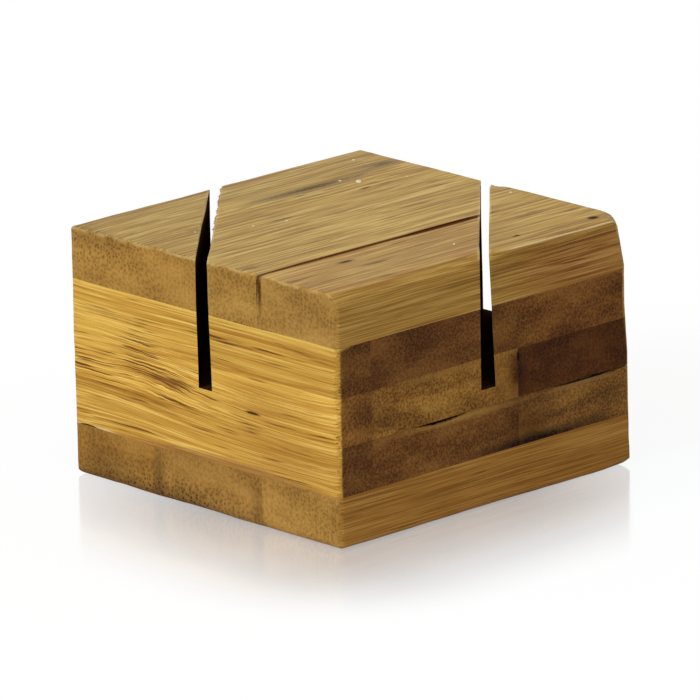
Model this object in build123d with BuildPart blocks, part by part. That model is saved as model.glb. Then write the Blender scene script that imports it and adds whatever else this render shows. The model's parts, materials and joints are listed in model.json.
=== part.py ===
"""Laminated bamboo photo block.

Five layers of glued bamboo strips make the block. The strips of the two face layers cross those of the three core
layers between them. Two saw slots cross opposite corners of the top, and each one holds the lower edge of a photo.
The saw parts the strips that it cuts right through, so their ends stay behind in the two cheeks, which are the
corners of the block outside the slots.

The origin is the middle of the underside and +Z is up. The slots run along X, but for a slight turn towards each
other, so photos in them face -Y, the front. The block stands turned under its slots, with one corner at the front,
and its own directions are along the face strips, from the back left side to the front right side, and along the core
strips, from the front left side to the back right side.
"""

import os

from build123d import *

# Block, in millimetres
block_length = 62.0
block_width = 60.0

# Layers
face_thickness = 8.3
core_thickness = 7.8

# Strips beside the block's sides: the middle strip of each layer fills what its two neighbours leave
top_front_left_width = 17.5
top_back_right_width = 8.6
core_back_left_width = 7.0
core_front_right_width = 24.1
bottom_front_left_width = 17.3
bottom_back_right_width = 18.5

# Photo slots: saw cuts, upright at the back, whose front wall leans back and narrows them to the mouth at the top
slot_width = 2.15
slot_spacing = 42.8
front_slot_mouth = 1.4
front_slot_depth = 21.2
back_slot_mouth = 1.85
back_slot_depth = 20.3

# Turns in degrees: of the block under its slots, and of each slot towards the other at its right end
slot_angle = 45.0
slot_toe = 0.5

# Sanded edges
top_edge_radius = 0.7
bottom_edge_radius = 1.2
upright_edge_radius = 0.7

# Front top corner, rubbed away by hand: how far it is set back along each edge
rubbed_along_length = 2.5
rubbed_along_width = 3.1
rubbed_down = 12.0
rubbed_radius = 2.0

# Open joint beside the front left strip of the top layer: a wedge that closes with depth
open_joint_width = 0.5
open_joint_depth = 5.5

# Gaps under the middle core layer, which show at the front left side and close further in
arched_gap_start = 15.5
arched_gap_length = 12.0
arched_gap_height = 0.6
split_gap_length = 16.0
split_gap_height = 0.35
gap_reach = 12.0

# Short gap over the bottom layer, beside the back corner, which shows at the back left side
corner_gap_start = 0.9
corner_gap_length = 4.6
corner_gap_height = 0.3
corner_gap_reach = 5.0

# Levels
bottom_layer_top = face_thickness
lower_core_top = bottom_layer_top + core_thickness
middle_core_top = lower_core_top + core_thickness
upper_core_top = middle_core_top + core_thickness
block_height = upper_core_top + face_thickness

# Directions of the strips
face_run = Vector(1, 0, 0).rotate(Axis.Z, -slot_angle)
core_run = Vector(0, 1, 0).rotate(Axis.Z, -slot_angle)
up = Vector(0, 0, 1)

# Planes: the underside of the block, and the cross-sections of the face strips and of the core strips
block_plane = Plane((0, 0, 0), x_dir=face_run, z_dir=up)
face_section = Plane((0, 0, 0), x_dir=core_run, z_dir=face_run)
core_section = Plane((0, 0, 0), x_dir=face_run, z_dir=-core_run)

# Sides of the block and joints between strips, measured across the strips
back_left_side = -block_length / 2
front_right_side = block_length / 2
front_left_side = -block_width / 2
back_right_side = block_width / 2
top_front_left_joint = front_left_side + top_front_left_width
top_back_right_joint = back_right_side - top_back_right_width
core_back_left_joint = back_left_side + core_back_left_width
core_front_right_joint = front_right_side - core_front_right_width
bottom_front_left_joint = front_left_side + bottom_front_left_width
bottom_back_right_joint = back_right_side - bottom_back_right_width

# Sanded outside of the whole block
front_corner = block_plane.from_local_coords(Vector(front_right_side, front_left_side, block_height))
rubbed_back_along_length = front_corner - face_run * rubbed_along_length
rubbed_back_along_width = front_corner + core_run * rubbed_along_width
rubbed_low = front_corner - up * rubbed_down
rubbed_normal = (rubbed_low - rubbed_back_along_length).cross(rubbed_back_along_width - rubbed_back_along_length)

with BuildPart() as sanded_block:
    with BuildSketch(block_plane):
        Rectangle(block_length, block_width)
    extrude(amount=block_height)
    split(bisect_by=Plane(rubbed_low, z_dir=rubbed_normal), keep=Keep.BOTTOM)
    rubbed_edges = faces().sort_by_distance(front_corner)[0].edges()
    fillet(rubbed_edges, min(rubbed_radius, rubbed_along_length, rubbed_along_width))
    fillet(edges().filter_by(Axis.Z), upright_edge_radius)
    fillet(edges().group_by(Axis.Z)[0], bottom_edge_radius)
    fillet(faces().sort_by(Axis.Z)[-1].edges().filter_by(GeomType.LINE), top_edge_radius)

# Both photo slots, run out past the sides and the top
past_sides = block_length + block_width
front_slot = (-slot_spacing / 2, slot_toe, front_slot_mouth, front_slot_depth)
back_slot = (slot_spacing / 2, -slot_toe, back_slot_mouth, back_slot_depth)

with BuildPart() as saw_slots:
    for slot_place, slot_turn, slot_mouth, slot_depth in (front_slot, back_slot):
        slot_run = Vector(1, 0, 0).rotate(Axis.Z, slot_turn)
        slot_floor = block_height - slot_depth
        mouth_front = slot_width / 2 - slot_mouth
        with BuildSketch(Plane((0, slot_place, slot_floor), x_dir=up.cross(slot_run), z_dir=slot_run)):
            with BuildLine():
                Polyline(
                    (-slot_width / 2, 0),
                    (slot_width / 2, 0),
                    (slot_width / 2, 2 * slot_depth),
                    (mouth_front, 2 * slot_depth),
                    (mouth_front, slot_depth),
                    close=True,
                )
            make_face()
        extrude(amount=past_sides, both=True)

# Open joint in the top layer, between the slots only
with BuildPart() as open_joint:
    with BuildSketch(face_section):
        with BuildLine():
            Polyline(
                (top_front_left_joint, block_height),
                (top_front_left_joint - open_joint_width, block_height),
                (top_front_left_joint, block_height - open_joint_depth),
                close=True,
            )
        make_face()
    extrude(amount=block_length, both=True)
    with BuildSketch(Plane.XY.offset(block_height - open_joint_depth)):
        Rectangle(past_sides, slot_spacing)
    extrude(amount=open_joint_depth, mode=Mode.INTERSECT)

# Arched gap over the middle strip of the lower core, which is hollow across its width
front_left_plane = core_section.offset(-front_left_side)
arch_start = back_left_side + arched_gap_start
arch_end = arch_start + arched_gap_length

with BuildPart() as arched_gap:
    with BuildSketch(front_left_plane):
        with BuildLine():
            ThreePointArc(
                (arch_start, lower_core_top),
                ((arch_start + arch_end) / 2, lower_core_top - arched_gap_height),
                (arch_end, lower_core_top),
            )
            Line((arch_end, lower_core_top), (arch_start, lower_core_top))
        make_face()
    extrude(amount=gap_reach, dir=core_run * gap_reach + up * arched_gap_height)

# Split over the front right strip of the lower core, widest at the front corner
with BuildPart() as split_gap:
    with BuildSketch(front_left_plane):
        with BuildLine():
            Polyline(
                (front_right_side - split_gap_length, lower_core_top),
                (front_right_side, lower_core_top - split_gap_height),
                (front_right_side, lower_core_top),
                close=True,
            )
        make_face()
    extrude(amount=gap_reach, dir=core_run * gap_reach + up * split_gap_height)

# Arched gap under the back left strip of the lower core, beside the back corner
gap_end = back_right_side - corner_gap_start
gap_start = gap_end - corner_gap_length

with BuildPart() as corner_gap:
    with BuildSketch(face_section.offset(back_left_side)):
        with BuildLine():
            ThreePointArc(
                (gap_start, bottom_layer_top),
                ((gap_start + gap_end) / 2, bottom_layer_top + corner_gap_height),
                (gap_end, bottom_layer_top),
            )
            Line((gap_end, bottom_layer_top), (gap_start, bottom_layer_top))
        make_face()
    extrude(amount=corner_gap_reach, dir=face_run * corner_gap_reach - up * corner_gap_height)

strip_gaps = {
    "top_strip_front_left": open_joint,
    "lower_core_strip_middle": arched_gap,
    "lower_core_strip_front_right": split_gap,
    "lower_core_strip_back_left": corner_gap,
}


def cheek_of(piece):
    """Name the cheek that a sawn piece of strip lies in, or nothing for the block between the slots."""
    if piece.center().Y > slot_spacing / 2:
        return "back_cheek_"
    if piece.center().Y < -slot_spacing / 2:
        return "front_cheek_"
    return ""


def make_strip(name, section, run, across, level):
    """Make one strip from its cross-section, sand and saw it, and write each piece that is left of it."""
    with BuildPart() as strip:
        with BuildSketch(section):
            with Locations((sum(across) / 2, sum(level) / 2)):
                Rectangle(across[1] - across[0], level[1] - level[0])
        extrude(amount=run / 2, both=True)
        add(sanded_block.part, mode=Mode.INTERSECT)
        add(saw_slots.part, mode=Mode.SUBTRACT)
        if name in strip_gaps:
            add(strip_gaps[name].part, mode=Mode.SUBTRACT)
    pieces = strip.part.solids()
    for piece in pieces:
        piece.label = cheek_of(piece) + name if len(pieces) > 1 else name
        export_step(piece, f"parts/{piece.label}.step")


def make_layer(name, section, run, level, joints, places):
    """Lay one layer of strips side by side, from joint to joint."""
    for place, across in zip(places, zip(joints, joints[1:])):
        make_strip(f"{name}_{place}", section, run, across, level)


face_places = ("front_left", "middle", "back_right")
core_places = ("back_left", "middle", "front_right")
top_joints = (front_left_side, top_front_left_joint, top_back_right_joint, back_right_side)
core_joints = (back_left_side, core_back_left_joint, core_front_right_joint, front_right_side)
bottom_joints = (front_left_side, bottom_front_left_joint, bottom_back_right_joint, back_right_side)
core_levels = {
    "lower_core_strip": (bottom_layer_top, lower_core_top),
    "middle_core_strip": (lower_core_top, middle_core_top),
    "upper_core_strip": (middle_core_top, upper_core_top),
}

os.makedirs("parts", exist_ok=True)
make_layer("bottom_strip", face_section, block_length, (0, bottom_layer_top), bottom_joints, face_places)
for core_name, core_level in core_levels.items():
    make_layer(core_name, core_section, block_width, core_level, core_joints, core_places)
make_layer("top_strip", face_section, block_length, (upper_core_top, block_height), top_joints, face_places)
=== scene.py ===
"""Laminated bamboo photo block with two saw slots, on a white studio floor."""
import json
import math

import bmesh
import bpy
import numpy as np
from mathutils import Matrix, Vector


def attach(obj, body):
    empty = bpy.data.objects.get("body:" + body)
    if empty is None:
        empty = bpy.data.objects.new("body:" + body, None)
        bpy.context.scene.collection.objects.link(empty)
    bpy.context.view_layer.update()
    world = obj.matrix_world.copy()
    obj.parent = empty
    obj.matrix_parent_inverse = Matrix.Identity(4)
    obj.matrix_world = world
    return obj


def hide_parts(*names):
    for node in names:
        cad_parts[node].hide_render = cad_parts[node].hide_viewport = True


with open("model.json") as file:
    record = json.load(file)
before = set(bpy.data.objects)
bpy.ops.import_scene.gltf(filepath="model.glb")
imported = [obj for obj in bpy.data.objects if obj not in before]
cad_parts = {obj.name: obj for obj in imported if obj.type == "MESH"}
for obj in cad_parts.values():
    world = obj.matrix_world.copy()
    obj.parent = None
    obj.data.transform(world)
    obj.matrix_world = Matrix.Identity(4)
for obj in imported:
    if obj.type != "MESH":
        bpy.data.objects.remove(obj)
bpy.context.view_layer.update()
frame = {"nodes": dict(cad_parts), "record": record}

# Sizes of the block in millimetres. Block coordinates are (u, v, z): u runs along the face strips, from the
# back left side to the front right side, and v along the core strips, from the front left side to the back
# right side.
mm = 0.001
block_length = 62.0
block_width = 60.0
block_height = 40.0
block_turn = math.radians(45)

# Slots: their width at the floor, and for each one its place along Y, its turn, the width of its mouth and
# its depth
slot_width = 2.15
front_slot = (-21.4, math.radians(0.5), 1.4, 21.2)
back_slot = (21.4, math.radians(-0.5), 1.85, 20.3)
slots = (front_slot, back_slot)

along_face = Vector((math.cos(block_turn), -math.sin(block_turn), 0))
along_core = Vector((math.sin(block_turn), math.cos(block_turn), 0))
upward = Vector((0, 0, 1))
block_axes = (along_face, along_core, upward)
block_low = np.array((-block_length / 2, -block_width / 2, 0))
block_high = np.array((block_length / 2, block_width / 2, block_height))


def to_block(points):
    """Turn points in metres, in the part's frame, into block coordinates in millimetres."""
    return points @ np.array(block_axes).T / mm


def to_part(points):
    """Turn block coordinates in millimetres into points in metres, in the part's frame."""
    return points @ np.array(block_axes) * mm


def unevenness(points, size, seed):
    """Smooth random values from -1 to 1, with bumps that are size millimetres across."""
    count = 32
    lattice = np.random.default_rng(seed).uniform(-1, 1, (count, count, count))
    place = points / np.asarray(size, float)
    corner = np.floor(place).astype(int)
    share = place - corner
    share = share * share * (3 - 2 * share)
    total = np.zeros(len(points))
    for step in np.ndindex(2, 2, 2):
        weight = np.prod(np.where(step, share, 1 - share), axis=1)
        total += weight * lattice[tuple(((corner + step) % count).T)]
    return total


def linear(colour):
    """Turn an sRGB hex colour into linear values with an alpha of one."""
    parts = [int(colour[k:k + 2], 16) / 255 for k in (1, 3, 5)]
    return [p / 12.92 if p <= 0.04045 else ((p + 0.055) / 1.055) ** 2.4 for p in parts] + [1.0]


def add_node(tree, kind, inputs=None, stops=(), **settings):
    """Add one node, choose its settings, link or set its inputs, and set the colour stops of a ramp."""
    node = tree.nodes.new(kind)
    for name, value in settings.items():
        setattr(node, name, value)
    for key, value in (inputs or {}).items():
        if isinstance(value, bpy.types.NodeSocket):
            tree.links.new(value, node.inputs[key])
        else:
            node.inputs[key].default_value = value
    for k, (position, colour) in enumerate(stops):
        elements = node.color_ramp.elements
        element = elements[k] if k < 2 else elements.new(position)
        element.position = position
        element.color = linear(colour)
    return node


# Sockets of a Mix node that mixes colours: they come behind those for numbers and vectors
mix_share = 0
mix_below = 6
mix_above = 7
mix_result = 2


def new_material(name):
    """Start a material with an empty node tree, and give both."""
    material = bpy.data.materials.new(name)
    material.use_nodes = True
    tree = material.node_tree
    tree.nodes.clear()
    return material, tree


def place_in_millimetres(tree, turn):
    """Place on the piece in millimetres, turned about Z."""
    place = add_node(tree, "ShaderNodeTexCoord").outputs["Object"]
    return add_node(tree, "ShaderNodeMapping", {"Vector": place, "Rotation": (0, 0, turn),
                                                "Scale": (1 / mm, 1 / mm, 1 / mm)}).outputs[0]


def bent_fibres(tree, place, own, knots):
    """Place among the fibres, and how knotty it is there."""
    # Fibres wander a little on their way along the strip
    slow = add_node(tree, "ShaderNodeMapping", {"Vector": own, "Scale": (1 / 26, 1 / 8, 1 / 5)}).outputs[0]
    wander = add_node(tree, "ShaderNodeTexNoise",
                      {"Vector": slow, "Scale": 1.0, "Detail": 1.0}).outputs["Color"]
    wander = add_node(tree, "ShaderNodeVectorMath", {0: wander, 1: (0.5, 0.5, 0.5)},
                      operation="SUBTRACT").outputs[0]
    wander = add_node(tree, "ShaderNodeVectorMath", {0: wander, 1: (0, 0.9, 0.8)},
                      operation="MULTIPLY").outputs[0]
    fibre = add_node(tree, "ShaderNodeVectorMath", {0: own, 1: wander}).outputs[0]

    # At a node of the cane the fibres crowd together, lean, tangle and darken
    tangle = add_node(tree, "ShaderNodeTexNoise",
                      {"Vector": own, "Scale": 1 / 2.5, "Detail": 2.0}).outputs["Fac"]
    tangle = add_node(tree, "ShaderNodeMath", {0: tangle, 1: 0.5}, operation="SUBTRACT").outputs[0]
    knotty = 0.0
    for centre, reach, crowding, lean, snarl, darkness in knots:
        from_knot = add_node(tree, "ShaderNodeVectorMath", {0: place, 1: centre},
                             operation="SUBTRACT").outputs[0]
        near = add_node(tree, "ShaderNodeVectorMath", {0: from_knot, 1: reach}, operation="DIVIDE").outputs[0]
        near = add_node(tree, "ShaderNodeTexGradient", {0: near}, gradient_type="SPHERICAL").outputs["Fac"]
        pull = add_node(tree, "ShaderNodeVectorMath", {0: from_knot, 1: (lean, 0.0, crowding)},
                        operation="DOT_PRODUCT").outputs["Value"]
        pull = add_node(tree, "ShaderNodeMath", {0: tangle, 1: snarl, 2: pull},
                        operation="MULTIPLY_ADD").outputs[0]
        pull = add_node(tree, "ShaderNodeMath", {0: pull, 1: near}, operation="MULTIPLY").outputs[0]
        pull = add_node(tree, "ShaderNodeCombineXYZ", {2: pull}).outputs[0]
        fibre = add_node(tree, "ShaderNodeVectorMath", {0: fibre, 1: pull}).outputs[0]
        knotty = add_node(tree, "ShaderNodeMath", {0: near, 1: darkness, 2: knotty},
                          operation="MULTIPLY_ADD", use_clamp=True).outputs[0]
    return fibre, knotty


# Streaks from fine to broad: length, width and height in millimetres, and detail
streak_sizes = ((20, 0.6, 0.2, 3.0), (34, 1.6, 0.55, 3.0), (70, 6.0, 2.8, 1.0))


def fibre_streaks(tree, fibre):
    """Noise drawn out along the fibres, in each size of streak."""
    streaks = []
    for length, width, height, detail in streak_sizes:
        scale = (1 / length, 1 / width, 1 / height)
        stretched = add_node(tree, "ShaderNodeMapping", {"Vector": fibre, "Scale": scale}).outputs[0]
        streak = add_node(tree, "ShaderNodeTexNoise",
                          {"Vector": stretched, "Scale": 1.0, "Detail": detail, "Roughness": 0.6})
        streaks.append(streak.outputs["Fac"])
    return streaks


def fibre_bundles(tree, fibre, spacing):
    """Fibre bundles, round dots in section: how far a place is in one, as a dot and as a thinner thread."""
    axes = add_node(tree, "ShaderNodeSeparateXYZ", {0: fibre})
    section = add_node(tree, "ShaderNodeCombineXYZ", {0: axes.outputs[1], 1: axes.outputs[2]}).outputs[0]
    section = add_node(tree, "ShaderNodeVectorMath", {0: section, "Scale": 1 / spacing},
                       operation="SCALE").outputs[0]
    bundle = add_node(tree, "ShaderNodeTexVoronoi", {"Vector": section, "Scale": 1.0},
                      voronoi_dimensions="2D").outputs["Distance"]
    dot = add_node(tree, "ShaderNodeMapRange",
                   {"Value": bundle, "From Min": 0.42, "From Max": 0.2}).outputs[0]
    thread = add_node(tree, "ShaderNodeMapRange",
                      {"Value": bundle, "From Min": 0.3, "From Max": 0.12}).outputs[0]
    return dot, thread


def long_grain(tree, own, fibre, knotty, streaks, thread, colours):
    """Colour along the strip: streaks, with dark threads and lines in them."""
    # Streaks are stronger at a knot
    fine, medium, broad = streaks
    streak = -0.55
    for pattern, share in ((medium, 0.4), (fine, 1.35), (broad, 0.35)):
        streak = add_node(tree, "ShaderNodeMath", {0: pattern, 1: share, 2: streak},
                          operation="MULTIPLY_ADD").outputs[0]
    vivid = add_node(tree, "ShaderNodeMath", {0: knotty, 1: 0.8, 2: 1.0}, operation="MULTIPLY_ADD").outputs[0]
    streak = add_node(tree, "ShaderNodeMath", {0: streak, 1: 0.5}, operation="SUBTRACT").outputs[0]
    streak = add_node(tree, "ShaderNodeMath", {0: streak, 1: vivid, 2: 0.5},
                      operation="MULTIPLY_ADD").outputs[0]
    side = add_node(tree, "ShaderNodeValToRGB", {"Fac": streak},
                    stops=zip((0.26, 0.43, 0.57, 0.74), colours[1:])).outputs["Color"]

    # Bundles cut lengthwise are dark threads, which come and go over about 9 mm
    comes = add_node(tree, "ShaderNodeMapping", {"Vector": own, "Scale": (1 / 9, 1 / 1.2, 1 / 1.2)}).outputs[0]
    comes = add_node(tree, "ShaderNodeTexNoise", {"Vector": comes, "Scale": 1.0, "Detail": 2.0}).outputs["Fac"]
    comes = add_node(tree, "ShaderNodeMapRange",
                     {"Value": comes, "From Min": 0.5, "From Max": 0.72}).outputs[0]
    thread = add_node(tree, "ShaderNodeMath", {0: thread, 1: comes}, operation="MULTIPLY").outputs[0]
    side = add_node(tree, "ShaderNodeMix", {mix_share: thread, mix_below: side, mix_above: linear(colours[0])},
                    data_type="RGBA").outputs[mix_result]

    # At a knot bundles break out of the surface and leave thin dark lines, about 10 mm long and 0.28 mm high
    dash = add_node(tree, "ShaderNodeMapping",
                    {"Vector": fibre, "Scale": (1 / 10, 1 / 1.2, 1 / 0.28)}).outputs[0]
    dash = add_node(tree, "ShaderNodeTexNoise", {"Vector": dash, "Scale": 1.0, "Detail": 1.0}).outputs["Fac"]
    dash = add_node(tree, "ShaderNodeMath", {0: knotty, 1: 0.16, 2: dash}, operation="MULTIPLY_ADD").outputs[0]
    dash = add_node(tree, "ShaderNodeMapRange",
                    {"Value": dash, "From Min": 0.66, "From Max": 0.78}).outputs[0]
    return add_node(tree, "ShaderNodeMix", {mix_share: dash, mix_below: side, mix_above: linear(colours[0])},
                    data_type="RGBA").outputs[mix_result]


def end_grain(tree, own, grit, dot, saw_marks, dot_marks, colours):
    """Colour at the strip's ends: flesh with dots in it, in patches, and faint upright marks of the saw."""
    # Patches are about 6 mm deep, 9 mm wide and 4 mm high, and saw marks 0.4 mm wide and 8 mm high
    layers = add_node(tree, "ShaderNodeMapping", {"Vector": own, "Scale": (0.17, 0.11, 0.27)}).outputs[0]
    patch = add_node(tree, "ShaderNodeTexNoise", {"Vector": layers, "Scale": 1.0, "Detail": 3.0}).outputs["Fac"]
    upright = add_node(tree, "ShaderNodeMapping", {"Vector": own, "Scale": (0.3, 2.4, 0.12)}).outputs[0]
    saw = add_node(tree, "ShaderNodeTexNoise", {"Vector": upright, "Scale": 1.0, "Detail": 2.0}).outputs["Fac"]
    flesh = 0.05 - (saw_marks + dot_marks) / 2
    for pattern, share in ((grit, dot_marks), (patch, 0.9), (saw, saw_marks)):
        flesh = add_node(tree, "ShaderNodeMath", {0: pattern, 1: share, 2: flesh},
                         operation="MULTIPLY_ADD").outputs[0]
    end = add_node(tree, "ShaderNodeValToRGB", {"Fac": flesh},
                   stops=zip((0.3, 0.5, 0.7), colours[1:])).outputs["Color"]
    dots = add_node(tree, "ShaderNodeMapRange", {"Value": patch, "From Min": 0.35, "From Max": 0.65,
                                                 "To Min": dot_marks, "To Max": dot_marks / 3}).outputs[0]
    dots = add_node(tree, "ShaderNodeMath", {0: dot, 1: dots}, operation="MULTIPLY").outputs[0]
    return add_node(tree, "ShaderNodeMix", {mix_share: dots, mix_below: end, mix_above: linear(colours[0])},
                    data_type="RGBA").outputs[mix_result]


def add_marks(tree, colour, place, patterns, marks):
    """Lay marks on a colour, and give it with how far stains and painted light cover it.

    Each mark has a place in the strip, a reach along, across and up, a colour and a strength. Stains cover the
    grain, and so do the painted highlights and painted shade laid as they are; shades only darken it, and some
    of them are painted shade; pits are bundles that have broken out of the end grain.
    """
    stain_and_painted_light_share = 0.0
    for kind, centre, reach, mark_colour, strength in marks:
        spot = add_node(tree, "ShaderNodeVectorMath", {0: place, 1: centre}, operation="SUBTRACT").outputs[0]
        spot = add_node(tree, "ShaderNodeVectorMath", {0: spot, 1: reach}, operation="DIVIDE").outputs[0]
        spot = add_node(tree, "ShaderNodeTexGradient", {0: spot}, gradient_type="SPHERICAL").outputs["Fac"]
        spot = add_node(tree, "ShaderNodeMath", {0: spot, 1: patterns[kind]}, operation="MULTIPLY").outputs[0]
        spot = add_node(tree, "ShaderNodeMath", {0: spot, 1: strength}, operation="MULTIPLY",
                        use_clamp=True).outputs[0]
        how = "MULTIPLY" if kind == "shade" else "MIX"
        colour = add_node(tree, "ShaderNodeMix",
                          {mix_share: spot, mix_below: colour, mix_above: linear(mark_colour)},
                          data_type="RGBA", blend_type=how).outputs[mix_result]
        if kind == "stain":
            stain_and_painted_light_share = add_node(tree, "ShaderNodeMath", {0: stain_and_painted_light_share, 1: spot}, operation="MAXIMUM").outputs[0]
    return colour, stain_and_painted_light_share


def sanded_bamboo(name, turn, side_colours, end_colours, end_facing, saw_marks, dot_marks, dot_spacing,
                  knots, marks):
    """Bamboo strip, sanded and lightly oiled.

    Along the strip the eye sees fine dark and light streaks, which are fibre bundles cut lengthwise. At the
    strip's ends the same bundles show as small dark dots in paler flesh, and the open ends drink more oil, so
    they are darker.
    """
    material, tree = new_material(name)
    side_tint = add_node(tree, "ShaderNodeAttribute", attribute_name="side_tint")
    end_tint = add_node(tree, "ShaderNodeAttribute", attribute_name="end_tint")
    rubbed = add_node(tree, "ShaderNodeAttribute", attribute_name="rubbed").outputs["Fac"]
    ending = add_node(tree, "ShaderNodeAttribute", attribute_name="end_grain").outputs["Fac"]
    ending = add_node(tree, "ShaderNodeMapRange",
                      {"Value": ending, "From Min": end_facing[0], "From Max": end_facing[1]},
                      interpolation_type="SMOOTHSTEP").outputs[0]

    # Place in the strip: X along the grain, Y across it and Z up. The strip's seed shifts its own patterns.
    place = place_in_millimetres(tree, turn)
    seed = side_tint.outputs["Alpha"]
    shift = add_node(tree, "ShaderNodeVectorMath", {0: (413.0, 271.0, 0.0), "Scale": seed},
                     operation="SCALE").outputs[0]
    own = add_node(tree, "ShaderNodeVectorMath", {0: place, 1: shift}).outputs[0]
    fibre, knotty = bent_fibres(tree, place, own, knots)
    streaks = fibre_streaks(tree, fibre)
    dot, thread = fibre_bundles(tree, fibre, dot_spacing)

    # Grit is about 0.4 mm across
    grit = add_node(tree, "ShaderNodeTexNoise", {"Vector": own, "Scale": 2.6, "Detail": 2.0}).outputs["Fac"]

    # Each strip has its own tints
    side = long_grain(tree, own, fibre, knotty, streaks, thread, side_colours)
    side = add_node(tree, "ShaderNodeMix",
                    {mix_share: 1.0, mix_below: side, mix_above: side_tint.outputs["Color"]},
                    data_type="RGBA", blend_type="MULTIPLY").outputs[mix_result]
    end = end_grain(tree, own, grit, dot, saw_marks, dot_marks, end_colours)
    end = add_node(tree, "ShaderNodeMix",
                   {mix_share: 1.0, mix_below: end, mix_above: end_tint.outputs["Color"]},
                   data_type="RGBA", blend_type="MULTIPLY").outputs[mix_result]
    colour = add_node(tree, "ShaderNodeMix", {mix_share: ending, mix_below: side, mix_above: end},
                      data_type="RGBA").outputs[mix_result]

    # Stains, shades and the painted light among them have ragged edges
    fine, medium = streaks[:2]
    ragged = add_node(tree, "ShaderNodeMath", {0: grit, 1: medium}).outputs[0]
    holes = add_node(tree, "ShaderNodeMapRange",
                     {"Value": grit, "From Min": 0.42, "From Max": 0.6}).outputs[0]
    holes = add_node(tree, "ShaderNodeMath", {0: holes, 1: dot}, operation="MULTIPLY").outputs[0]
    patterns = {"stain": ragged, "shade": ragged, "pits": holes}
    colour, stain_and_painted_light_share = add_marks(tree, colour, place, patterns, marks)

    # Rubbed edges are paler, and on the block's top arrises this pale colour is also a painted highlight
    pale = add_node(tree, "ShaderNodeMath", {0: rubbed, 1: ragged}, operation="MULTIPLY").outputs[0]
    colour = add_node(tree, "ShaderNodeMix",
                      {mix_share: pale, mix_below: colour, mix_above: linear("#f4dca2")},
                      data_type="RGBA").outputs[mix_result]

    # Surface: sanded fibres stand a little proud of the flesh between them; stains and painted light are dull
    relief = add_node(tree, "ShaderNodeMath", {0: dot, 1: ending, 2: fine}, operation="MULTIPLY_ADD").outputs[0]
    bump = add_node(tree, "ShaderNodeBump",
                    {"Height": relief, "Strength": 0.3, "Distance": 0.1 * mm}).outputs["Normal"]
    gloss = add_node(tree, "ShaderNodeMapRange", {"Value": ending, "To Min": 0.5, "To Max": 0.7}).outputs[0]
    gloss = add_node(tree, "ShaderNodeMath", {0: gloss, 1: stain_and_painted_light_share}, operation="MAXIMUM").outputs[0]
    shader = add_node(tree, "ShaderNodeBsdfPrincipled",
                      {"Base Color": colour, "Roughness": gloss, "Normal": bump,
                       "IOR": 1.45, "Specular IOR Level": 0.15})
    add_node(tree, "ShaderNodeOutputMaterial", {"Surface": shader.outputs[0]})
    return material


def matte_fibre(name, dark, light, size):
    """Bare bamboo with no shine: its colour drifts between two shades, in patches of a size in millimetres."""
    material, tree = new_material(name)
    place = add_node(tree, "ShaderNodeTexCoord").outputs["Object"]
    drift = add_node(tree, "ShaderNodeTexNoise",
                     {"Vector": place, "Scale": 1 / (size * mm), "Detail": 2.0}).outputs["Fac"]
    colour = add_node(tree, "ShaderNodeValToRGB", {"Fac": drift},
                      stops=((0.35, dark), (0.65, light))).outputs["Color"]
    bump = add_node(tree, "ShaderNodeBump",
                    {"Height": drift, "Strength": 0.3, "Distance": 0.05 * mm}).outputs["Normal"]
    shader = add_node(tree, "ShaderNodeBsdfPrincipled",
                      {"Base Color": colour, "Roughness": 0.95, "Normal": bump,
                       "IOR": 1.45, "Specular IOR Level": 0.0})
    add_node(tree, "ShaderNodeOutputMaterial", {"Surface": shader.outputs[0]})
    return material


# Strips: tints of their long grain and of their end grain, and the seed of their patterns. A strip's end in a
# cheek has the tints of the strip itself, unless it has an entry of its own.
strip_tints = {
    "top_strip_front_left": ((0.99, 0.95, 0.82), (1.05, 1.06, 1.02), 0.11),
    "front_cheek_top_strip_front_left": ((0.95, 0.96, 0.76), (0.93, 0.93, 0.82), 0.11),
    "top_strip_middle": ((1.01, 1.08, 0.96), (1.11, 1.12, 1.02), 0.37),
    "back_cheek_top_strip_middle": ((0.93, 0.99, 0.88), (1.11, 1.09, 0.94), 0.37),
    "top_strip_back_right": ((0.92, 0.98, 0.95), (1.08, 1.06, 0.93), 0.61),
    "back_cheek_top_strip_back_right": ((0.89, 0.94, 0.84), (1.08, 1.06, 0.91), 0.61),
    "bottom_strip_front_left": ((0.76, 0.60, 0.40), (1.02, 1.01, 0.91), 0.23),
    "bottom_strip_middle": ((0.80, 0.68, 0.52), (0.91, 0.88, 0.78), 0.49),
    "bottom_strip_back_right": ((0.80, 0.68, 0.52), (0.92, 0.85, 0.66), 0.73),
    "upper_core_strip_back_left": ((1.03, 1.02, 1.02), (0.98, 0.92, 0.78), 0.17),
    "back_cheek_upper_core_strip_back_left": ((1.18, 1.20, 1.24), (1.34, 1.27, 1.02), 0.17),
    "upper_core_strip_middle": ((0.95, 0.94, 0.90), (0.98, 0.89, 0.79), 0.31),
    "front_cheek_upper_core_strip_middle": ((0.95, 0.94, 0.90), (1.04, 0.97, 0.84), 0.31),
    "upper_core_strip_front_right": ((0.90, 0.88, 0.84), (1.17, 1.07, 0.87), 0.83),
    "middle_core_strip_back_left": ((1.25, 1.26, 1.30), (1.57, 1.55, 1.24), 0.57),
    "middle_core_strip_middle": ((1.00, 0.96, 0.90), (1.88, 2.08, 1.56), 0.41),
    "middle_core_strip_front_right": ((0.62, 0.58, 0.54), (0.52, 0.37, 0.25), 0.67),
    "lower_core_strip_back_left": ((1.08, 1.07, 1.08), (0.95, 0.89, 0.73), 0.29),
    "lower_core_strip_middle": ((0.95, 0.92, 0.88), (1.13, 1.06, 0.88), 0.79),
    "lower_core_strip_front_right": ((1.00, 0.96, 0.90), (1.46, 1.58, 1.33), 0.91),
}
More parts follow.
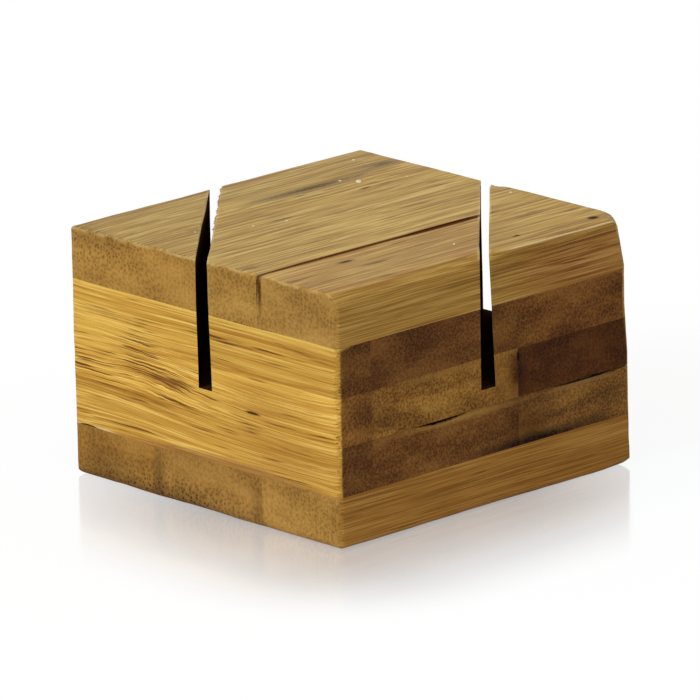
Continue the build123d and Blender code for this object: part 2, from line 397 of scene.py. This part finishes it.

# Marks that the photograph shows, at places along the strip, across it and up
# Among these marks are stains and wear, and some painted highlights and painted shade
face_marks = (
    ("stain", (9.5, 18.4, 40.0), (18.0, 2.6, 3.0), "#6a583c", 0.95),
    ("stain", (27.0, 20.5, 40.0), (8.0, 2.0, 3.0), "#6a5a42", 0.85),
    ("stain", (26.6, -26.8, 40.0), (1.3, 0.9, 2.0), "#3f2c1e", 2.2),
    ("stain", (11.4, -25.5, 40.0), (1.1, 0.5, 2.0), "#4a3424", 1.6),
    ("stain", (-16.5, -16.9, 40.0), (2.4, 0.8, 2.0), "#5e4428", 1.2),
    ("stain", (15.0, 12.0, 40.0), (1.6, 0.4, 1.0), "#7a4a22", 1.6),
    ("stain", (-14.0, -12.9, 40.0), (26.0, 0.75, 3.0), "#80481c", 2.2),
    ("stain", (7.5, -13.0, 40.0), (13.0, 0.9, 3.0), "#582c04", 3.8),
    ("stain", (-31.0, -13.2, 38.0), (2.0, 0.6, 4.5), "#542e0e", 1.3),
    # Pale patch at the front top corner: rubbed bare fibres and a painted highlight
    ("stain", (31.0, -30.0, 38.6), (2.6, 2.2, 2.6), "#f8e4b4", 2.4),
    # Painted shade: the top of the front left strip a little darker than its lit level
    ("shade", (-8.0, -21.0, 40.0), (34.0, 9.0, 3.0), "#e6e6e4", 1.0),
    # Painted shade: the front left side past the front slot, darker and redder under its top arris
    ("stain", (20.0, -30.0, 38.2), (13.0, 2.0, 0.5), "#6e4520", 0.4),
    ("shade", (20.0, -30.0, 35.0), (22.0, 1.6, 8.0), "#f2dae8", 1.5),
    ("stain", (-31.0, 22.0, 1.0), (3.0, 11.0, 5.5), "#4e3316", 0.6),
    ("shade", (-31.0, 10.6, 3.5), (3.0, 1.9, 6.5), "#8a7a68", 0.7),
    ("shade", (-31.0, -11.6, 2.5), (3.0, 1.8, 5.5), "#8a7a68", 0.45),
    ("stain", (-31.0, 6.0, 0.0), (4.0, 26.0, 3.0), "#4e3316", 0.75),
    ("stain", (-31.0, 24.0, 39.0), (2.0, 12.0, 2.6), "#5c3f1b", 0.4),
    ("pits", (-31.0, 25.0, 38.0), (3.0, 17.0, 5.5), "#4a2f12", 0.85),
    ("pits", (-31.0, 9.0, 1.0), (4.0, 26.0, 4.2), "#36210d", 1.3),
)
core_marks = (
    ("stain", (-11.0, 31.0, 18.0), (2.2, 2.0, 0.32), "#5a3810", 1.9),
    ("stain", (0.0, 31.0, 31.6), (60.0, 4.0, 0.5), "#eac25c", 1.0),
    ("shade", (-4.0, 31.0, 8.3), (27.0, 2.0, 1.5), "#ccc0d6", 2.2),
    ("stain", (26.0, 31.0, 25.0), (11.0, 3.0, 5.0), "#f6d060", 0.32),
    ("shade", (-15.0, 31.0, 19.0), (18.0, 3.0, 6.0), "#e4e0de", 1.2),
    ("shade", (-18.0, 31.0, 11.0), (16.0, 3.0, 5.0), "#e0d8d6", 0.9),
    ("stain", (25.5, 31.0, 8.5), (6.0, 2.0, 0.24), "#ecd6a4", 1.4),
    ("stain", (-30.0, 4.5, 15.5), (3.0, 17.0, 0.8), "#b08442", 1.1),
    ("stain", (-30.0, 9.0, 23.3), (3.0, 13.0, 0.8), "#a87c3c", 0.8),
    ("stain", (-30.0, -20.0, 15.5), (3.0, 9.0, 0.5), "#9a7240", 1.2),
    # Painted shade: a black line along the split, for the shade in its opening
    ("stain", (-30.0, -21.0, 16.0), (3.0, 9.0, 0.2), "#140a05", 2.0),
    ("shade", (-30.0, 24.5, 20.0), (3.0, 4.5, 5.5), "#c0bcc8", 0.7),
    ("shade", (-30.0, -4.0, 20.0), (3.0, 5.0, 7.0), "#dad4ce", 1.5),
    ("shade", (-30.0, -6.6, 20.0), (2.0, 2.2, 5.5), "#987e66", 1.2),
    ("shade", (-30.0, -9.0, 11.0), (3.0, 6.5, 5.5), "#b4a692", 1.2),
    # Painted shade: a short black line for the shade in a nick
    ("stain", (-30.0, -6.9, 22.6), (2.0, 0.35, 1.1), "#150b05", 2.6),
    # Painted shade: a dark band along the foot of the core's end grain on the front left side
    ("stain", (-30.0, -11.0, 8.5), (3.0, 19.0, 1.9), "#22130a", 1.2),
)

# Knots: centre, reach, and how much they crowd, lean, snarl and darken the fibres
face_knots = (
    ((19.0, -30.0, 36.0), (24.0, 7.0, 6.0), 0.0, 0.0, 0.1, 0.75),
)
core_knots = (
    ((11.5, 31.0, 22.5), (14.0, 9.0, 5.0), 0.3, 0.0, 0.7, 0.85),
    ((8.0, 31.0, 18.5), (15.0, 9.0, 3.8), 0.0, -0.06, 0.5, 0.9),
    ((27.0, 31.0, 17.0), (28.0, 9.0, 13.0), 0.0, 0.0, 0.1, 0.5),
    ((2.0, 31.0, 17.0), (45.0, 12.0, 9.5), 0.0, -0.1, 0.2, 0.0),
)

# Colours: thread, then dark to light for long grain, and dot, then dark to light for end grain
face_bamboo = sanded_bamboo(
    "sanded_face_bamboo", block_turn,
    side_colours=("#825b27", "#9a7032", "#b78b43", "#c79e52", "#dcb972"),
    end_colours=("#5b3c1a", "#936c33", "#a67e3e", "#b58b49"),
    end_facing=(0.45, 0.85), saw_marks=0.3, dot_marks=0.45, dot_spacing=0.7,
    knots=face_knots, marks=face_marks,
)
core_bamboo = sanded_bamboo(
    "sanded_core_bamboo", -block_turn,
    side_colours=("#6a4212", "#ab7b2c", "#bf9039", "#cea145", "#e4bf62"),
    end_colours=("#341d0c", "#5f3b1a", "#7a5026", "#8f6534"),
    end_facing=(0.92, 1.0), saw_marks=0.1, dot_marks=0.7, dot_spacing=0.55,
    knots=core_knots, marks=core_marks,
)
# Painted shade: a dark matte bamboo on the walls and floors of the slots and in the open joints, which lie in
# shade
scorched_bamboo = matte_fibre("scorched_bamboo", "#3a2412", "#482f18", 1.5)

# Cuts that give a strip enough points to shape, in millimetres
step_along = 2.4
step_across = 0.5
step_up = 0.6
arris_cuts = (0.25, 0.55, 0.9, 1.4, 2.0, 2.8)
slot_cuts = (0.2, 0.45, 0.8, 1.3)


def depths(points):
    """How deep block points are behind the nearer side of the block, along each of its axes."""
    return np.minimum(points - block_low, block_high - points)


def slot_distance(points, slot):
    """How far block points are from the middle of one slot, across it."""
    middle, toe = slot[:2]
    place = to_part(points) / mm
    return (place[:, 1] - middle) * math.cos(toe) - place[:, 0] * math.sin(toe)


def slot_wall(points, slot):
    """How far block points are outside the nearer wall of one slot, and which way that is across it."""
    mouth, depth = slot[2:]
    reach = slot_distance(points, slot)
    rise = np.clip((points[:, 2] - block_height) / depth + 1, 0, 1)
    front = (slot_width - mouth) * rise - slot_width / 2
    back = slot_width / 2
    way = np.where(reach > (front + back) / 2, 1, -1)
    return np.where(way > 0, reach - back, front - reach), way


def slice_faces(shell, point, normal):
    """Cut the faces of a shell along one plane, and keep both sides."""
    parts = shell.verts[:] + shell.edges[:] + shell.faces[:]
    bmesh.ops.bisect_plane(shell, geom=parts, dist=2e-6, plane_co=point, plane_no=normal)


def cut_strip(shell, grain):
    """Slice the faces of a strip into a grid that is long along the grain and fine across it."""
    points = to_block(np.array([vert.co for vert in shell.verts]))
    low = points.min(axis=0)
    high = points.max(axis=0)
    steps = [step_across, step_across, step_up]
    steps[grain] = step_along
    for axis in range(3):
        places = list(np.arange(low[axis] + steps[axis] / 2, high[axis], steps[axis]))
        places += [block_low[axis] + cut for cut in arris_cuts]
        places += [block_high[axis] - cut for cut in arris_cuts]
        for place in sorted(places):
            if low[axis] < place < high[axis]:
                slice_faces(shell, block_axes[axis] * place * mm, block_axes[axis])
    for slot in slots:
        middle, toe, mouth = slot[:3]
        across = Vector((-math.sin(toe), math.cos(toe), 0))
        reach = slot_distance(points, slot)
        for cut in slot_cuts:
            for offset in (slot_width / 2 - mouth - cut, slot_width / 2 + cut):
                if reach.min() < offset < reach.max():
                    slice_faces(shell, Vector((0, middle * mm, 0)) + across * offset * mm, across)


# Arrises of the block: two axes, and the low end (0) or the high end (1) of each
arrises = [(a, b, end_a, end_b) for a, b in ((0, 1), (0, 2), (1, 2)) for end_a in (0, 1) for end_b in (0, 1)]
left_upright = (0, 1, 0, 0)
front_upright = (0, 1, 1, 0)
front_left_top = (1, 2, 0, 1)
front_top_corner = (block_high[0], block_low[1], block_height)
front_foot_corner = (block_high[0], block_low[1], 0)

# Wear of the arrises: their radii in millimetres, and what some places add to them
upright_wear = 0.8
top_wear = 0.75
foot_wear = 1.4
least_wear = 0.3
left_upright_wear = 0.3
front_upright_wear = 0.9
front_left_top_wear = 1.7
front_top_corner_wear = 1.4
front_foot_corner_wear = 0.8
corner_reach = 6.0

# Other wear, in millimetres: nibbled slot edges, the split, the tip of the front cheek, and uneven faces
nibble_depth = 0.22
least_nibble = 0.03
slide_reach = 3.0
split_level = 16.1
split_start = 13.0
split_reach = 1.6
cheek_tip = (block_high[0], -1.0, block_height)
cheek_tip_reach = 3.0
cheek_tip_wear = (0.1, 0.5, 0.35)
warp_size = 11.0
warp_height = 0.09


def near_place(points, place, reach):
    """Share that falls from one at a place to zero at its reach, for block points."""
    return np.clip(1 - np.linalg.norm(points - place, axis=1) / reach, 0, 1)


def arris_radius(points, arris):
    """Radius of the wear on one arris, beside each of the block points."""
    upright = arris[1] == 1
    at_top = arris[3] == 1
    radius = np.full(len(points), upright_wear if upright else top_wear if at_top else foot_wear)
    if arris == front_left_top:
        left_of_slot = np.clip((4.0 - points[:, 0]) / 4.0, 0, 1)
        radius += front_left_top_wear * left_of_slot
    if not upright and at_top:
        radius += front_top_corner_wear * near_place(points, front_top_corner, corner_reach)
    if not upright and not at_top:
        radius += front_foot_corner_wear * near_place(points, front_foot_corner, corner_reach)
    if arris == front_upright:
        high_up = np.clip((points[:, 2] - 18.0) / 8.0, 0, 1)
        radius += front_upright_wear * high_up
    if arris == left_upright:
        radius += left_upright_wear
    return radius


def round_over(depth_a, depth_b, radius):
    """Bring points near an arris onto its rounding, from how deep they are behind the two faces there."""
    gap_a = radius - depth_a
    gap_b = radius - depth_b
    reach = np.hypot(gap_a, gap_b)
    near = (gap_a > 0) & (gap_b > 0) & (reach > radius)
    share = np.where(near, radius / np.maximum(reach, 1e-9), 1.0)
    return np.where(near, radius - gap_a * share, depth_a), np.where(near, radius - gap_b * share, depth_b)


def round_arrises(points, start):
    """Round the arrises of the block, by moving points that started at other block points."""
    soft = unevenness(start, 7.0, 3) * 0.2 + unevenness(start, 2.2, 4) * 0.12
    for arris in arrises:
        a, b, end_a, end_b = arris
        radius = np.maximum(arris_radius(start, arris) + soft, least_wear)
        wall_a = (block_low, block_high)[end_a][a]
        wall_b = (block_low, block_high)[end_b][b]
        sign_a = 1 - 2 * end_a
        sign_b = 1 - 2 * end_b
        deep_a, deep_b = round_over((points[:, a] - wall_a) * sign_a, (points[:, b] - wall_b) * sign_b, radius)
        points[:, a] = wall_a + deep_a * sign_a
        points[:, b] = wall_b + deep_b * sign_b


def nibble_slots(points, start):
    """Nibble the top edges of the slots, by moving points that started at other block points."""
    from_sides = depths(start)[:, :2].min(axis=1)
    for number, slot in enumerate(slots):
        # Near a slot, points slide along the arris so that the rounding leaves the slot's edges on its walls
        toe = slot[1]
        across = to_block(np.array([(-math.sin(toe), math.cos(toe), 0)]) * mm)[0]
        near = np.clip(1 - slot_wall(start, slot)[0] / slide_reach, 0, 1)
        moved = points - start
        points[:, 0] -= near * moved[:, 1] * across[1] / across[0]
        points[:, 1] -= near * moved[:, 0] * across[0] / across[1]

        # Beside the block's sides the edges stay nearly sharp
        wall, way = slot_wall(points, slot)
        nibble = nibble_depth + 0.2 * unevenness(start, 1.3, 11 + number)
        nibble = nibble + 0.25 * unevenness(start, 4.0, 13 + number)
        nibble = np.maximum(nibble * np.clip((from_sides - 1.5) / 3.0, 0.1, 1), least_nibble)
        outside = np.maximum(wall, 0)
        deep_wall, deep_top = round_over(outside, block_height - points[:, 2], nibble)
        points += ((deep_wall - outside) * way)[:, None] * across
        points[:, 2] = block_height - deep_top


def worn(start):
    """Give block points their wear: rounded arrises, nibbled slots, a jagged split and gently uneven faces."""
    points = start.copy()
    round_arrises(points, start)
    nibble_slots(points, start)
    level = np.clip(1 - np.abs(start[:, 2] - split_level) / split_reach, 0, 1)
    beyond_slot = np.clip((start[:, 0] - split_start) / 2.0, 0, 1)
    jag = 0.28 * unevenness(start, (1.9, 40.0, 40.0), 31) + 0.14 * unevenness(start, (0.8, 40.0, 40.0), 32)
    points[:, 2] += jag * level * beyond_slot
    points -= near_place(start, cheek_tip, cheek_tip_reach)[:, None] * cheek_tip_wear
    warp = np.column_stack([unevenness(start, warp_size, seed) for seed in (21, 22, 23)]) * warp_height
    warp[:, 2] *= np.clip(start[:, 2] / 6.0, 0, 1)
    return points + warp


# Points and faces that lie deeper than this behind the outside of the block are in a slot or an open joint
outer_depth = 0.4


def inside_faces(centres):
    """Which faces are in the dark and get the painted shade: walls and floors of the slots, and open joints
    behind the outside.
    """
    depth = depths(centres).min(axis=1)
    in_slot = np.zeros(len(centres), bool)
    for slot in slots:
        above_floor = centres[:, 2] > block_height - slot[3] - 0.05
        in_slot |= (slot_wall(centres, slot)[0] < 0.03) & above_floor
    in_slot &= (depth > 0.05) & (centres[:, 2] < block_height - 0.2)
    rubbed_reach = (7.0, 7.0, 16.0)
    at_rub = np.linalg.norm((centres - front_top_corner) / rubbed_reach, axis=1) < 1
    return in_slot | ((depth > outer_depth) & ~at_rub)


def pale_wear_and_highlight_share(points):
    """How pale block points are: wear and a painted highlight on two top edges of the block, wear on slot
    edges.
    """
    # Front left top edge, past its slot: wear and a painted highlight
    top = block_height - points[:, 2]
    side = points[:, 1] - block_low[1]
    arris = np.clip(1 - np.abs(top - side) / 0.35, 0, 1) * np.clip(1.6 - top - side, 0, 1)
    arris *= np.clip((points[:, 0] - 4.0) / 3.0, 0, 1)

    # Back left top edge, here and there: wear and a painted highlight
    side = points[:, 0] - block_low[0]
    end = np.clip(1 - np.abs(top - side) / 0.5, 0, 1) * np.clip(1.8 - top - side, 0, 1)
    end *= np.clip(0.5 + 1.2 * unevenness(points, (2.0, 1.5, 2.0), 42), 0, 1)

    # Top edges of the slots, here and there
    from_slots = np.min([slot_wall(points, slot)[0] for slot in slots], axis=0)
    rim = np.clip(1 - (from_slots - 0.1) / 0.35, 0, 1) * np.clip(1 - top / 0.5, 0, 1)
    rim *= np.clip(0.5 + unevenness(points, 6.0, 41), 0, 1)
    return np.maximum(np.maximum(1.1 * arris, 0.3 * end), 0.4 * rim)


def groove_depth(points, start, grain, seed):
    """How deep shallow grooves along the grain are at worn points: they end at the joints and at the foot."""
    stretch = np.full(3, 0.7)
    stretch[grain] = 16.0
    groove = 0.03 + 0.03 * unevenness(points, stretch, seed)
    from_joint = np.minimum(start - start.min(axis=0), start.max(axis=0) - start)
    from_joint = np.delete(from_joint, grain, axis=1).min(axis=1)
    groove = np.where(depths(start).min(axis=1) < outer_depth, groove, 0)
    return groove * np.clip(points[:, 2] / 1.5, 0, 1) * np.clip(from_joint / 0.8, 0, 1)


def move_points(shell, places):
    """Move the points of a shell to places in the part's frame."""
    for vert, place in zip(shell.verts, places):
        vert.co = place
    shell.normal_update()


def add_object(name, data):
    """Put a new object into the scene."""
    thing = bpy.data.objects.new(name, data)
    bpy.context.scene.collection.objects.link(thing)
    return thing


def dress_strip(node, material, grain):
    """Make the finished strip that stands for one CAD node."""
    strip = node.replace("front_cheek_", "").replace("back_cheek_", "")
    side_tint, end_tint, seed = strip_tints.get(node, strip_tints[strip])
    shell = bmesh.new()
    shell.from_mesh(frame["nodes"][node].data)
    bmesh.ops.remove_doubles(shell, verts=shell.verts[:], dist=1e-6)
    bmesh.ops.dissolve_limit(shell, angle_limit=math.radians(0.6), verts=shell.verts[:], edges=shell.edges[:])
    cut_strip(shell, grain)
    start = to_block(np.array([vert.co for vert in shell.verts]))
    inside = inside_faces(to_block(np.array([face.calc_center_median() for face in shell.faces])))
    points = worn(start)
    move_points(shell, to_part(points))
    groove = groove_depth(points, start, grain, int(seed * 100))
    normals = np.array([vert.normal for vert in shell.verts])
    move_points(shell, to_part(points) - normals * groove[:, None] * mm)
    mesh = bpy.data.meshes.new("bamboo_" + node)
    shell.to_mesh(mesh)
    shell.free()

    # What the materials read: how far each face is end grain, how pale each point is from wear and from a
    # painted highlight, and the strip's tints
    along = np.array(block_axes[grain])
    normals = np.empty(len(mesh.polygons) * 3)
    mesh.polygons.foreach_get("normal", normals)
    count = len(mesh.vertices)
    painted = {
        ("end_grain", "FLOAT", "FACE", "value"): np.abs(normals.reshape(-1, 3) @ along),
        ("rubbed", "FLOAT", "POINT", "value"): pale_wear_and_highlight_share(start),
        ("side_tint", "FLOAT_COLOR", "POINT", "color"): np.tile((*side_tint, seed), count),
        ("end_tint", "FLOAT_COLOR", "POINT", "color"): np.tile((*end_tint, 1.0), count),
    }
    for (name, kind, domain, field), values in painted.items():
        layer = mesh.attributes.new(name, kind, domain)
        layer.data.foreach_set(field, np.asarray(values, np.float32))
    mesh.polygons.foreach_set("use_smooth", np.ones(len(mesh.polygons), bool))
    mesh.set_sharp_from_angle(angle=math.radians(40))
    mesh.materials.append(material)
    # Faces in the slots and open joints get the painted shade
    if inside.any():
        mesh.materials.append(scorched_bamboo)
        mesh.polygons.foreach_set("material_index", inside.astype(np.int32))
    piece = add_object("bamboo_" + node, mesh)
    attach(piece, "root")
    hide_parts(node)


finishes = {"face_strip_bamboo": (face_bamboo, 0), "core_strip_bamboo": (core_bamboo, 1)}
for part in frame["record"]["subparts"]:
    finish_material, grain_axis = finishes[part["material_slot"]]
    dress_strip(part["node"], finish_material, grain_axis)


def node_tree(name, sizes):
    """Start a Geometry Nodes tree with named inputs for its sizes, and give it with its input sockets."""
    tree = bpy.data.node_groups.new(name, "GeometryNodeTree")
    tree.interface.new_socket("Geometry", in_out="INPUT", socket_type="NodeSocketGeometry")
    for size, kind in sizes.items():
        tree.interface.new_socket(size, in_out="INPUT", socket_type=kind)
    tree.interface.new_socket("Geometry", in_out="OUTPUT", socket_type="NodeSocketGeometry")
    return tree, add_node(tree, "NodeGroupInput").outputs


def finish_tree(tree, instances, material):
    """End a tree: its instances become plain mesh with one material."""
    shape = add_node(tree, "GeometryNodeRealizeInstances", {"Geometry": instances}).outputs[0]
    shape = add_node(tree, "GeometryNodeSetMaterial", {"Geometry": shape, "Material": material}).outputs[0]
    add_node(tree, "NodeGroupOutput", {"Geometry": shape})


def grown_piece(name, base, tree, sizes):
    """Run a tree on a base mesh, and keep what grows there as one plain piece of the block."""
    seedbed = add_object(name + "_base", base)
    growth = seedbed.modifiers.new("growth", "NODES")
    growth.node_group = tree
    for socket in tree.interface.items_tree:
        if socket.in_out == "INPUT" and socket.name in sizes:
            growth[socket.identifier] = sizes[socket.name]
    evaluated = seedbed.evaluated_get(bpy.context.evaluated_depsgraph_get())
    mesh = bpy.data.meshes.new_from_object(evaluated)
    bpy.data.objects.remove(seedbed)
    mesh.name = name
    piece = add_object(name, mesh)
    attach(piece, "root")


# Torn fibres, in millimetres: their count, length and thickness, where along the slot they start and end, and
# the count of points of the line that they grow on
torn_count = 190
torn_length = 0.6
torn_thickness = 0.22
torn_start = -3.0
torn_end = 21.0
torn_points = 12


def torn_fibres():
    """Fibres that the blade tore out along the top edge of the back slot, over its right half."""
    tree, given = node_tree("torn_fibres", {"Count": "NodeSocketInt", "Length": "NodeSocketFloat",
                                            "Thickness": "NodeSocketFloat", "Seed": "NodeSocketInt"})
    path = add_node(tree, "GeometryNodeMeshToCurve", {"Mesh": given["Geometry"]}).outputs[0]
    path = add_node(tree, "GeometryNodeResampleCurve", {"Curve": path, "Count": given["Count"]}).outputs[0]
    fibre = add_node(tree, "GeometryNodeMeshCone",
                     {"Vertices": 5, "Radius Top": 0.0, "Radius Bottom": given["Thickness"],
                      "Depth": given["Length"]}).outputs[0]
    grain = math.pi - block_turn
    turn = add_node(tree, "FunctionNodeRandomValue",
                    {0: (0.0, math.pi / 2 - 0.05, grain - 0.5), 1: (0.0, math.pi / 2 + 0.4, grain + 0.5),
                     "Seed": given["Seed"]}, data_type="FLOAT_VECTOR").outputs[0]
    size = add_node(tree, "FunctionNodeRandomValue", {2: 0.25, 3: 1.0, "Seed": given["Seed"]}).outputs[1]
    fibres = add_node(tree, "GeometryNodeInstanceOnPoints",
                      {"Points": path, "Instance": fibre, "Rotation": turn, "Scale": size}).outputs[0]
    finish_tree(tree, fibres, matte_fibre("torn_bamboo_fibre", "#a46e28", "#dcaa52", 0.4))

    middle, toe, mouth = back_slot[:3]
    along = np.array((math.cos(toe), math.sin(toe), 0))
    across = np.array((-math.sin(toe), math.cos(toe), 0))
    edge = np.array((0, middle, block_height - 0.3)) + across * (slot_width / 2 - mouth - 0.2)
    base = bpy.data.meshes.new("torn_edge")
    base.from_pydata([(edge + along * step) * mm for step in np.linspace(torn_start, torn_end, torn_points)],
                     [(k, k + 1) for k in range(torn_points - 1)], [])
    grown_piece("torn_fibres", base, tree,
                {"Count": torn_count, "Length": torn_length * mm, "Thickness": torn_thickness * mm, "Seed": 5})


# Pale flakes on the top, in millimetres: their places along u and v with half their length, the size of their
# bumps, and how ragged the bumps make them
flake_places = ((16.8, 15.4, 0.7), (15.2, 18.0, 0.3), (25.3, 25.5, 0.32),
                (-6.5, 7.0, 0.3), (-12.0, 8.6, 0.22), (28.4, -6.8, 0.34),
                (1.5, -22.0, 0.26), (24.0, 12.0, 0.2), (-20.5, 12.5, 0.2))
flake_bumps = 0.35
flake_raggedness = 0.25


def pale_flakes():
    """Thin flakes of dust and dried glue that lie on the top."""
    tree, given = node_tree("pale_flakes", {"Ragged": "NodeSocketFloat", "Seed": "NodeSocketInt"})
    flake = add_node(tree, "GeometryNodeMeshIcoSphere", {"Radius": 1.0, "Subdivisions": 2}).outputs[0]
    flake = add_node(tree, "GeometryNodeTransform", {"Geometry": flake, "Scale": (1.0, 0.6, 0.45)}).outputs[0]
    turn = add_node(tree, "FunctionNodeRandomValue",
                    {0: (-0.1, -0.1, -3.1), 1: (0.1, 0.1, 3.1), "Seed": given["Seed"]},
                    data_type="FLOAT_VECTOR").outputs[0]
    size = add_node(tree, "GeometryNodeInputNamedAttribute", {"Name": "half_length"}).outputs[0]
    flakes = add_node(tree, "GeometryNodeInstanceOnPoints",
                      {"Points": given["Geometry"], "Instance": flake,
                       "Rotation": turn, "Scale": size}).outputs[0]
    flakes = add_node(tree, "GeometryNodeRealizeInstances", {"Geometry": flakes}).outputs[0]
    rough = add_node(tree, "GeometryNodeInputPosition").outputs[0]
    rough = add_node(tree, "ShaderNodeTexNoise",
                     {"Vector": rough, "Scale": 1 / (flake_bumps * mm)}).outputs["Color"]
    rough = add_node(tree, "ShaderNodeVectorMath", {0: rough, 1: (0.5, 0.5, 0.5)},
                     operation="SUBTRACT").outputs[0]
    rough = add_node(tree, "ShaderNodeVectorMath", {0: rough, "Scale": given["Ragged"]},
                     operation="SCALE").outputs[0]
    flakes = add_node(tree, "GeometryNodeSetPosition", {"Geometry": flakes, "Offset": rough}).outputs[0]
    finish_tree(tree, flakes, matte_fibre("pale_dust", "#e9d6ac", "#fbf3df", 0.4))

    places = np.array([(u, v, block_height) for u, v, size in flake_places])
    base = bpy.data.meshes.new("flake_places")
    base.from_pydata(to_part(worn(places)).tolist(), [], [])
    sizes = base.attributes.new("half_length", "FLOAT", "POINT")
    sizes.data.foreach_set("value", [size * mm for u, v, size in flake_places])
    grown_piece("pale_flakes", base, tree, {"Ragged": flake_raggedness * mm, "Seed": 8})


torn_fibres()
pale_flakes()

# Reflection in the floor, in block coordinates and millimetres: where it is strongest, how strong it is there,
# from where to where it gets weaker, how strong it still is then, and how far from the block it ends
reflection_place = (-22.0, -30.0, 0.0)
reflection_strong = 0.57
reflection_weakens = (24.0, 64.0)
reflection_weak = 0.2
reflection_end = 36.0

# How far the floor reaches to each side, in metres
floor_reach = 3.0


def studio_floor():
    """Smooth white board: it keeps a soft shadow, and close to the block a blurred reflection of it."""
    material, tree = new_material("smooth_white_board")
    seen = add_node(tree, "ShaderNodeLightPath").outputs["Is Camera Ray"]
    colour = add_node(tree, "ShaderNodeMix",
                      {mix_share: seen, mix_below: linear("#d4d0c8"), mix_above: linear("#727272")},
                      data_type="RGBA").outputs[mix_result]
    board = add_node(tree, "ShaderNodeBsdfDiffuse", {"Color": colour}).outputs[0]
    level = add_node(tree, "ShaderNodeMath", {0: seen, 1: 0.875}, operation="MULTIPLY").outputs[0]
    glow = add_node(tree, "ShaderNodeEmission", {"Color": (1, 1, 1, 1), "Strength": level}).outputs[0]
    board = add_node(tree, "ShaderNodeAddShader", {0: board, 1: glow}).outputs[0]
    shine = add_node(tree, "ShaderNodeBsdfGlossy", {"Color": linear("#fafdff"), "Roughness": 0.12}).outputs[0]

    # The reflection is strongest beside the left corner of the block, which is the one nearest the camera, gets
    # weaker along both sides and ends a little way from the block
    place = place_in_millimetres(tree, block_turn)
    along_sides = add_node(tree, "ShaderNodeVectorMath", {0: place, 1: reflection_place},
                           operation="DISTANCE").outputs["Value"]
    near, far = reflection_weakens
    weaker = add_node(tree, "ShaderNodeMapRange",
                      {"Value": along_sides, "From Min": near, "From Max": far,
                       "To Min": reflection_strong, "To Max": reflection_weak},
                      interpolation_type="SMOOTHSTEP").outputs[0]
    away = add_node(tree, "ShaderNodeVectorMath", {0: place}, operation="ABSOLUTE").outputs[0]
    half = (block_length / 2, block_width / 2, 0)
    away = add_node(tree, "ShaderNodeVectorMath", {0: away, 1: half}, operation="SUBTRACT").outputs[0]
    away = add_node(tree, "ShaderNodeVectorMath", {0: away, 1: (0, 0, 0)}, operation="MAXIMUM").outputs[0]
    away = add_node(tree, "ShaderNodeVectorMath", {0: away}, operation="LENGTH").outputs["Value"]
    share = add_node(tree, "ShaderNodeMapRange",
                     {"Value": away, "From Min": 0.0, "From Max": reflection_end,
                      "To Min": weaker, "To Max": 0.0},
                     interpolation_type="SMOOTHSTEP").outputs[0]
    board = add_node(tree, "ShaderNodeMixShader", {0: share, 1: board, 2: shine}).outputs[0]
    add_node(tree, "ShaderNodeOutputMaterial", {"Surface": board})
    corners = [(x * floor_reach, y * floor_reach, 0) for x, y in ((-1, -1), (1, -1), (1, 1), (-1, 1))]
    mesh = bpy.data.meshes.new("studio_floor")
    mesh.from_pydata(corners, [], [(0, 1, 2, 3)])
    mesh.materials.append(material)
    floor = add_object("studio_floor", mesh)


def studio_light():
    """Even white surroundings, and one soft light from the left for the back left side and the top."""
    world = bpy.data.worlds.new("studio")
    bpy.context.scene.world = world
    world.use_nodes = True
    tree = world.node_tree
    tree.nodes.clear()
    light_path = add_node(tree, "ShaderNodeLightPath")
    seen = light_path.outputs["Is Camera Ray"]
    for kind in ("Is Glossy Ray", "Is Transmission Ray"):
        seen = add_node(tree, "ShaderNodeMath", {0: seen, 1: light_path.outputs[kind]},
                        operation="MAXIMUM").outputs[0]
    level = add_node(tree, "ShaderNodeMapRange", {"Value": seen, "To Min": 0.52, "To Max": 1.0}).outputs[0]
    sky = add_node(tree, "ShaderNodeBackground", {"Color": (1, 1, 1, 1), "Strength": level})
    add_node(tree, "ShaderNodeOutputWorld", {"Surface": sky.outputs[0]})

    lamp = bpy.data.lights.new("soft_light", "SUN")
    lamp.energy = 1.45
    lamp.angle = math.radians(30)
    soft_light = add_object("soft_light", lamp)
    heading = Vector((-0.62, 0.78, 0.58)).normalized()
    turn = heading.to_track_quat("Z", "Y").to_matrix().to_4x4()
    soft_light.matrix_world = Matrix.Translation(heading) @ turn


def photo_camera():
    """Camera at the photograph's viewing angle, with the long lens that its nearly parallel edges ask for."""
    azimuth = math.radians(-88.05)
    elevation = math.radians(16.13)
    roll = math.radians(-1.25)
    distance = 1.445
    target = Vector((0, 0, 0.01906))
    back = Vector((math.sin(azimuth) * math.cos(elevation), -math.cos(azimuth) * math.cos(elevation),
                   math.sin(elevation)))
    right = Vector((math.cos(azimuth), math.sin(azimuth), 0))
    rise = back.cross(right)
    leaning_right = math.cos(roll) * right + math.sin(roll) * rise
    leaning_rise = math.cos(roll) * rise - math.sin(roll) * right
    lens = bpy.data.cameras.new("photo_camera")
    lens.sensor_width = 36.0
    lens.lens = 480.0
    lens.shift_x = -0.0014
    lens.shift_y = 0.0014
    camera = add_object("photo_camera", lens)
    turn = Matrix((leaning_right, leaning_rise, back)).transposed().to_4x4()
    camera.matrix_world = Matrix.Translation(target + back * distance) @ turn
    bpy.context.scene.camera = camera


studio_floor()
studio_light()
photo_camera()
bpy.context.scene.view_settings.view_transform = "Standard"
